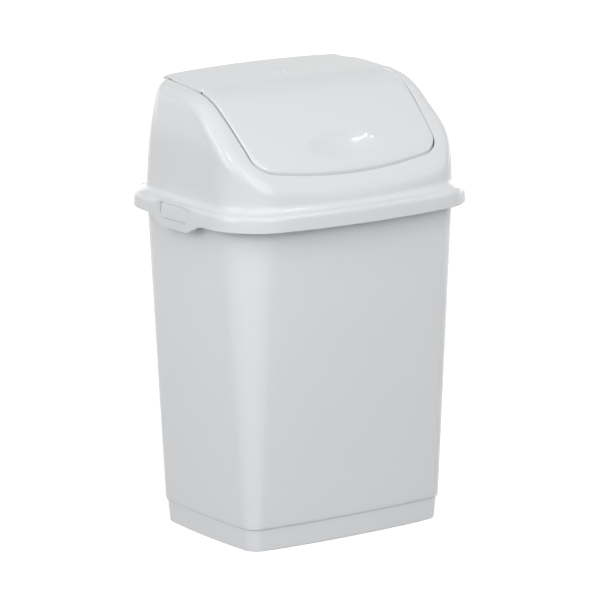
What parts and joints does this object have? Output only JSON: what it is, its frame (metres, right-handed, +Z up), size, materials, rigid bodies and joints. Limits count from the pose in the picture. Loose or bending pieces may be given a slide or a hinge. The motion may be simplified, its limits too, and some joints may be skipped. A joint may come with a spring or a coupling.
{
  "type": "countertop waste bin",
  "caption": "Small rectangular countertop waste bin with bowed, tapered walls, a lift-off hood over its rim, and a swing flap hung on two side pins.",
  "frame": {"origin": "middle of the face that the bin stands on", "axes": "+Z up, -Y towards the front, which the flap's sloping face looks to, +X along the flap's pivot"},
  "size_m": [0.2018, 0.1672, 0.306],
  "materials": {
    "bin_plastic": "cool white moulded plastic, smooth satin gloss",
    "lid_plastic": "cool white moulded plastic, smooth satin gloss",
    "flap_plastic": "cool white moulded plastic, smooth satin gloss"
  },
  "bodies": {
    "bin": {"bin_body": "bin_plastic"},
    "lid": {"lid_hood": "lid_plastic"},
    "flap": {"swing_flap": "flap_plastic"}
  },
  "joints": [
    {"name": "lid_lift", "type": "slide", "parent": "bin", "child": "lid", "axis": [0, 0, 1], "range_m": [0, 0.1]},
    {"name": "flap_swing", "type": "hinge", "parent": "lid", "child": "flap", "pos_m": [0, -0.005, 0.2899], "axis": [1, 0, 0], "range_deg": [0, 70]}
  ]
}
